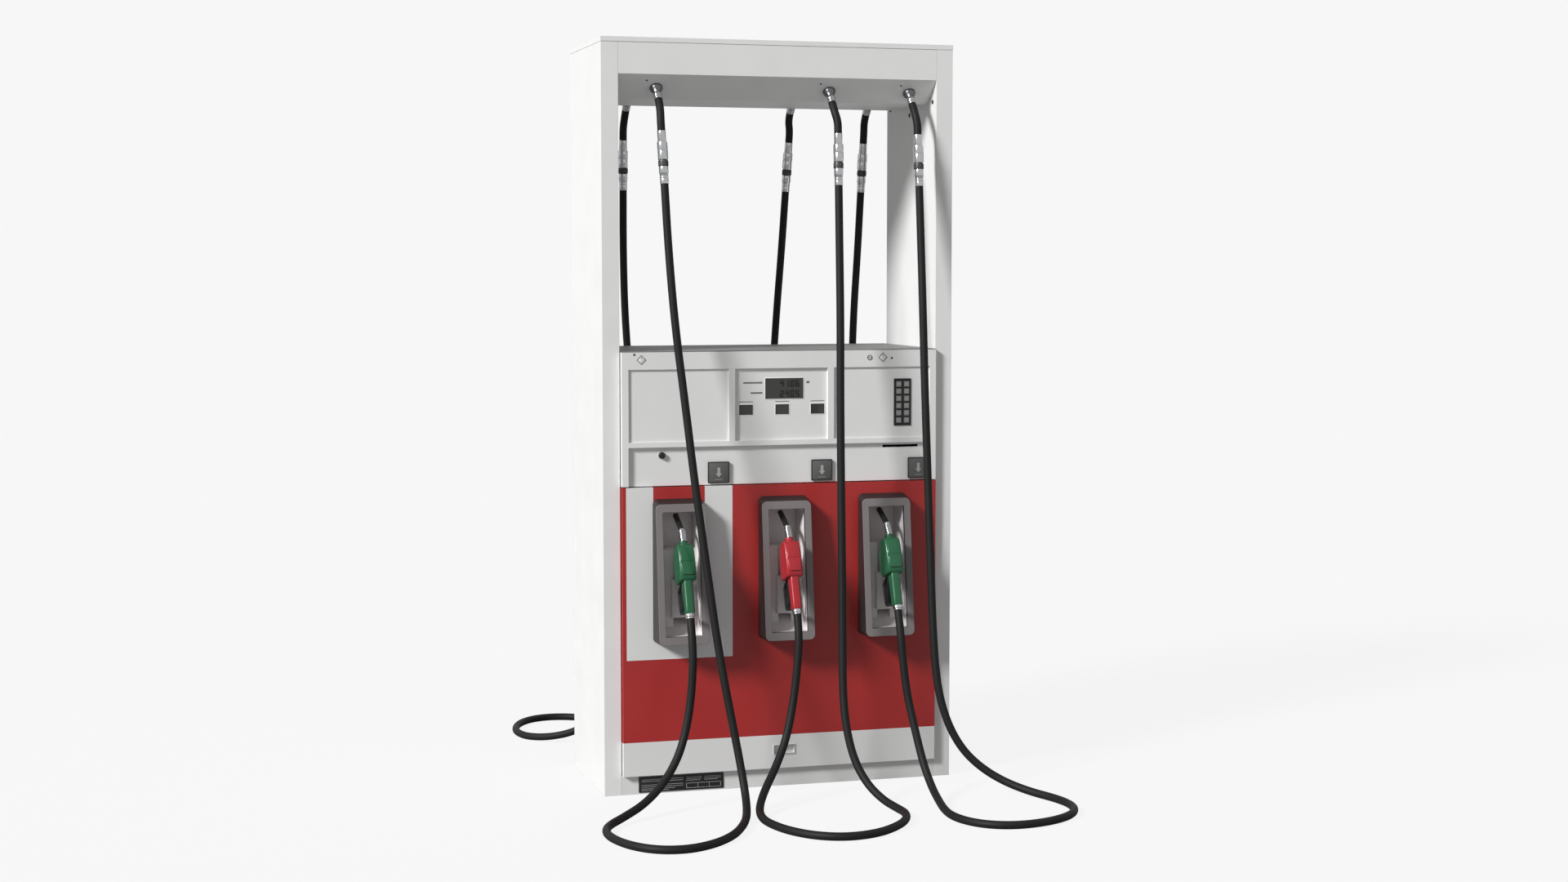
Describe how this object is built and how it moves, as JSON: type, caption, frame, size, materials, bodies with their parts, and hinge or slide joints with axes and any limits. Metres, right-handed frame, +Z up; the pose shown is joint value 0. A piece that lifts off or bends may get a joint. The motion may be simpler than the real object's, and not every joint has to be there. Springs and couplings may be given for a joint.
{
  "type": "fuel dispenser",
  "caption": "Two-sided forecourt fuel dispenser: a cabinet with displays and keypad, nozzles hung in moulded holders, and hoses that hang from an open mast and loop over the floor.",
  "frame": {"origin": "on the floor, under the middle of the cabinet", "axes": "+X to the right of someone facing the front, +Y from the front to the back, +Z up"},
  "size_m": [1.4575, 2.0606, 2.35],
  "materials": {
    "white_paint": "satin",
    "red_paint": "gloss",
    "grey_paint": "satin",
    "holder_plastic": "satin",
    "green_plastic": "gloss",
    "red_plastic": "gloss",
    "black_plastic": "matte",
    "hose_rubber": "matte",
    "chrome": "polished",
    "display": "gloss",
    "key_grey": "matte",
    "steel_plate": "brushed",
    "galvanised": "matte",
    "pipe_steel": "matte",
    "cast_iron": "matte",
    "motor_paint": "satin",
    "meter_alloy": "matte",
    "belt_rubber": "matte"
  },
  "bodies": {
    "dispenser": {"back_bezel": "white_paint", "back_displays": "display", "back_door": "red_paint", "back_hose_left": "hose_rubber", "back_hose_mid": "hose_rubber", "back_hose_right": "hose_rubber", "back_nozzle_holders": "holder_plastic", "base_frame": "grey_paint", "breakaways": "chrome", "cabinet_lid": "white_paint", "canopy_shell": "white_paint", "control_box": "galvanised", "door_pulls": "black_plastic", "drive_belts": "belt_rubber", "front_bezel": "white_paint", "front_displays": "display", "front_door": "red_paint", "front_hose_left": "hose_rubber", "front_hose_mid": "hose_rubber", "front_hose_right": "hose_rubber", "front_nozzle_holders": "holder_plastic", "hose_swivels": "chrome", "inlet_pipes": "pipe_steel", "keypad_frames": "black_plastic", "left_column": "white_paint", "meters": "meter_alloy", "motor": "motor_paint", "pipework": "pipe_steel", "pump_units": "cast_iron", "right_column": "white_paint", "top_cap": "white_paint", "trim_plates": "steel_plate", "vapour_barrier": "galvanised"},
    "front_bezel_lock": {"front_bezel_lock": "chrome"},
    "front_keypad_keys": {"front_keypad_keys": "key_grey"},
    "front_call_button": {"front_call_button": "black_plastic"},
    "front_start_button_left": {"front_start_button_left": "key_grey"},
    "front_start_button_mid": {"front_start_button_mid": "key_grey"},
    "front_start_button_right": {"front_start_button_right": "key_grey"},
    "front_nozzle_left": {"front_nozzle_left": "green_plastic"},
    "front_nozzle_mid": {"front_nozzle_mid": "red_plastic"},
    "front_nozzle_right": {"front_nozzle_right": "green_plastic"},
    "front_trigger_left": {"front_trigger_left": "black_plastic"},
    "front_trigger_mid": {"front_trigger_mid": "black_plastic"},
    "front_trigger_right": {"front_trigger_right": "black_plastic"},
    "back_bezel_lock": {"back_bezel_lock": "chrome"},
    "back_keypad_keys": {"back_keypad_keys": "key_grey"},
    "back_call_button": {"back_call_button": "black_plastic"},
    "back_start_button_left": {"back_start_button_left": "key_grey"},
    "back_start_button_mid": {"back_start_button_mid": "key_grey"},
    "back_start_button_right": {"back_start_button_right": "key_grey"},
    "back_nozzle_left": {"back_nozzle_left": "green_plastic"},
    "back_nozzle_mid": {"back_nozzle_mid": "red_plastic"},
    "back_nozzle_right": {"back_nozzle_right": "green_plastic"},
    "back_trigger_left": {"back_trigger_left": "black_plastic"},
    "back_trigger_mid": {"back_trigger_mid": "black_plastic"},
    "back_trigger_right": {"back_trigger_right": "black_plastic"},
    "drive_pulley": {"drive_pulley": "cast_iron"},
    "left_pump_pulley": {"left_pump_pulley": "cast_iron"},
    "right_pump_pulley": {"right_pump_pulley": "cast_iron"}
  },
  "joints": [
    {"name": "front_bezel_lock_turn", "type": "hinge", "parent": "dispenser", "child": "front_bezel_lock", "pos_m": [0.29, -0.264, 1.361], "axis": [0, 1, 0], "range_deg": [0, 90]},
    {"name": "front_keypad_press", "type": "slide", "parent": "dispenser", "child": "front_keypad_keys", "axis": [0, 1, 0], "range_m": [0, 0.001], "stiffness_N_per_m": 1000},
    {"name": "front_call_press", "type": "slide", "parent": "dispenser", "child": "front_call_button", "axis": [0, 1, 0], "range_m": [0, 0.003], "stiffness_N_per_m": 150},
    {"name": "front_start_press_left", "type": "slide", "parent": "dispenser", "child": "front_start_button_left", "axis": [0, 1, 0], "range_m": [0, 0.003], "stiffness_N_per_m": 800},
    {"name": "front_start_press_mid", "type": "slide", "parent": "dispenser", "child": "front_start_button_mid", "axis": [0, 1, 0], "range_m": [0, 0.003], "stiffness_N_per_m": 800},
    {"name": "front_start_press_right", "type": "slide", "parent": "dispenser", "child": "front_start_button_right", "axis": [0, 1, 0], "range_m": [0, 0.003], "stiffness_N_per_m": 800},
    {"name": "front_nozzle_unhook_left", "type": "hinge", "parent": "dispenser", "child": "front_nozzle_left", "pos_m": [-0.337, -0.23042, 0.87531], "axis": [-1, 0, 0], "range_deg": [0, 14], "deforming": ["front_hose_left"]},
    {"name": "front_trigger_squeeze_left", "type": "hinge", "parent": "front_nozzle_left", "child": "front_trigger_left", "pos_m": [-0.337, -0.34346, 0.67499], "axis": [-1, 0, 0], "range_deg": [0, 18], "stiffness_Nm_per_rad": 0.3},
    {"name": "front_nozzle_unhook_mid", "type": "hinge", "parent": "dispenser", "child": "front_nozzle_mid", "pos_m": [0.003, -0.23042, 0.87531], "axis": [-1, 0, 0], "range_deg": [0, 14], "deforming": ["front_hose_mid"]},
    {"name": "front_trigger_squeeze_mid", "type": "hinge", "parent": "front_nozzle_mid", "child": "front_trigger_mid", "pos_m": [0.003, -0.34346, 0.67499], "axis": [-1, 0, 0], "range_deg": [0, 18], "stiffness_Nm_per_rad": 0.3},
    {"name": "front_nozzle_unhook_right", "type": "hinge", "parent": "dispenser", "child": "front_nozzle_right", "pos_m": [0.332, -0.23042, 0.87531], "axis": [-1, 0, 0], "range_deg": [0, 14], "deforming": ["front_hose_right"]},
    {"name": "front_trigger_squeeze_right", "type": "hinge", "parent": "front_nozzle_right", "child": "front_trigger_right", "pos_m": [0.332, -0.34346, 0.67499], "axis": [-1, 0, 0], "range_deg": [0, 18], "stiffness_Nm_per_rad": 0.3},
    {"name": "back_bezel_lock_turn", "type": "hinge", "parent": "dispenser", "child": "back_bezel_lock", "pos_m": [0.29, 0.264, 1.361], "axis": [0, 1, 0], "range_deg": [0, 90]},
    {"name": "back_keypad_press", "type": "slide", "parent": "dispenser", "child": "back_keypad_keys", "axis": [0, -1, 0], "range_m": [0, 0.001], "stiffness_N_per_m": 1000},
    {"name": "back_call_press", "type": "slide", "parent": "dispenser", "child": "back_call_button", "axis": [0, -1, 0], "range_m": [0, 0.003], "stiffness_N_per_m": 150},
    {"name": "back_start_press_left", "type": "slide", "parent": "dispenser", "child": "back_start_button_left", "axis": [0, -1, 0], "range_m": [0, 0.003], "stiffness_N_per_m": 800},
    {"name": "back_start_press_mid", "type": "slide", "parent": "dispenser", "child": "back_start_button_mid", "axis": [0, -1, 0], "range_m": [0, 0.003], "stiffness_N_per_m": 800},
    {"name": "back_start_press_right", "type": "slide", "parent": "dispenser", "child": "back_start_button_right", "axis": [0, -1, 0], "range_m": [0, 0.003], "stiffness_N_per_m": 800},
    {"name": "back_nozzle_unhook_left", "type": "hinge", "parent": "dispenser", "child": "back_nozzle_left", "pos_m": [-0.337, 0.23042, 0.87531], "axis": [1, 0, 0], "range_deg": [0, 14], "deforming": ["back_hose_left"]},
    {"name": "back_trigger_squeeze_left", "type": "hinge", "parent": "back_nozzle_left", "child": "back_trigger_left", "pos_m": [-0.337, 0.34346, 0.67499], "axis": [1, 0, 0], "range_deg": [0, 18], "stiffness_Nm_per_rad": 0.3},
    {"name": "back_nozzle_unhook_mid", "type": "hinge", "parent": "dispenser", "child": "back_nozzle_mid", "pos_m": [0.003, 0.23042, 0.87531], "axis": [1, 0, 0], "range_deg": [0, 14], "deforming": ["back_hose_mid"]},
    {"name": "back_trigger_squeeze_mid", "type": "hinge", "parent": "back_nozzle_mid", "child": "back_trigger_mid", "pos_m": [0.003, 0.34346, 0.67499], "axis": [1, 0, 0], "range_deg": [0, 18], "stiffness_Nm_per_rad": 0.3},
    {"name": "back_nozzle_unhook_right", "type": "hinge", "parent": "dispenser", "child": "back_nozzle_right", "pos_m": [0.332, 0.23042, 0.87531], "axis": [1, 0, 0], "range_deg": [0, 14], "deforming": ["back_hose_right"]},
    {"name": "back_trigger_squeeze_right", "type": "hinge", "parent": "back_nozzle_right", "child": "back_trigger_right", "pos_m": [0.332, 0.34346, 0.67499], "axis": [1, 0, 0], "range_deg": [0, 18], "stiffness_Nm_per_rad": 0.3},
    {"name": "drive_spin", "type": "hinge", "parent": "dispenser", "child": "drive_pulley", "pos_m": [0, -0.15, 0.165], "axis": [0, 1, 0], "continuous": true},
    {"name": "left_pump_spin", "type": "hinge", "parent": "dispenser", "child": "left_pump_pulley", "pos_m": [-0.25, -0.15, 0.2], "axis": [0, 1, 0], "continuous": true},
    {"name": "right_pump_spin", "type": "hinge", "parent": "dispenser", "child": "right_pump_pulley", "pos_m": [0.25, -0.15, 0.2], "axis": [0, 1, 0], "continuous": true}
  ],
  "couplings": [
    {"joint": "left_pump_spin", "follows": "drive_spin", "ratio": 0.45455},
    {"joint": "right_pump_spin", "follows": "drive_spin", "ratio": 0.45455}
  ]
}
